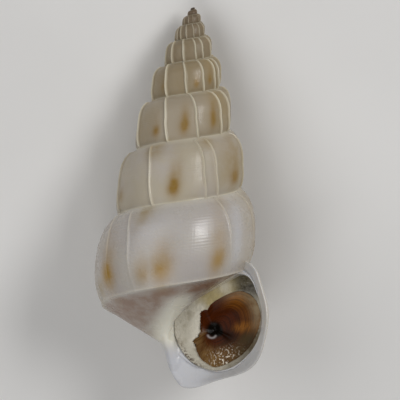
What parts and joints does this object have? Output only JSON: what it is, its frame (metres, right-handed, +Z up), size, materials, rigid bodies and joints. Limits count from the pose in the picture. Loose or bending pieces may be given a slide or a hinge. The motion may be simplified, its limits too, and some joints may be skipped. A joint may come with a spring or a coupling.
{
  "type": "wentletrap shell",
  "caption": "High-spired ribbed sea snail shell lying on its back, its round flared mouth closed by a horny operculum set in dried tissue.",
  "frame": {"origin": "centre of the bounding box's bottom, on the surface that the shell lies on", "axes": "+Y along the coil to the apex, dipping to the table; +X to the mouth's side; +Z up, out of the mouth"},
  "size_m": [0.009, 0.0184, 0.0079],
  "materials": {
    "shell": "glossy cream shell with white ribs, brown spots and a purplish base",
    "dried_foot": "dry, granular, off-white",
    "operculum": "glossy brown horn, partly see-through at the rim"
  },
  "bodies": {
    "root": {"shell": "shell", "dried_foot": "dried_foot", "operculum": "operculum"}
  },
  "joints": []
}
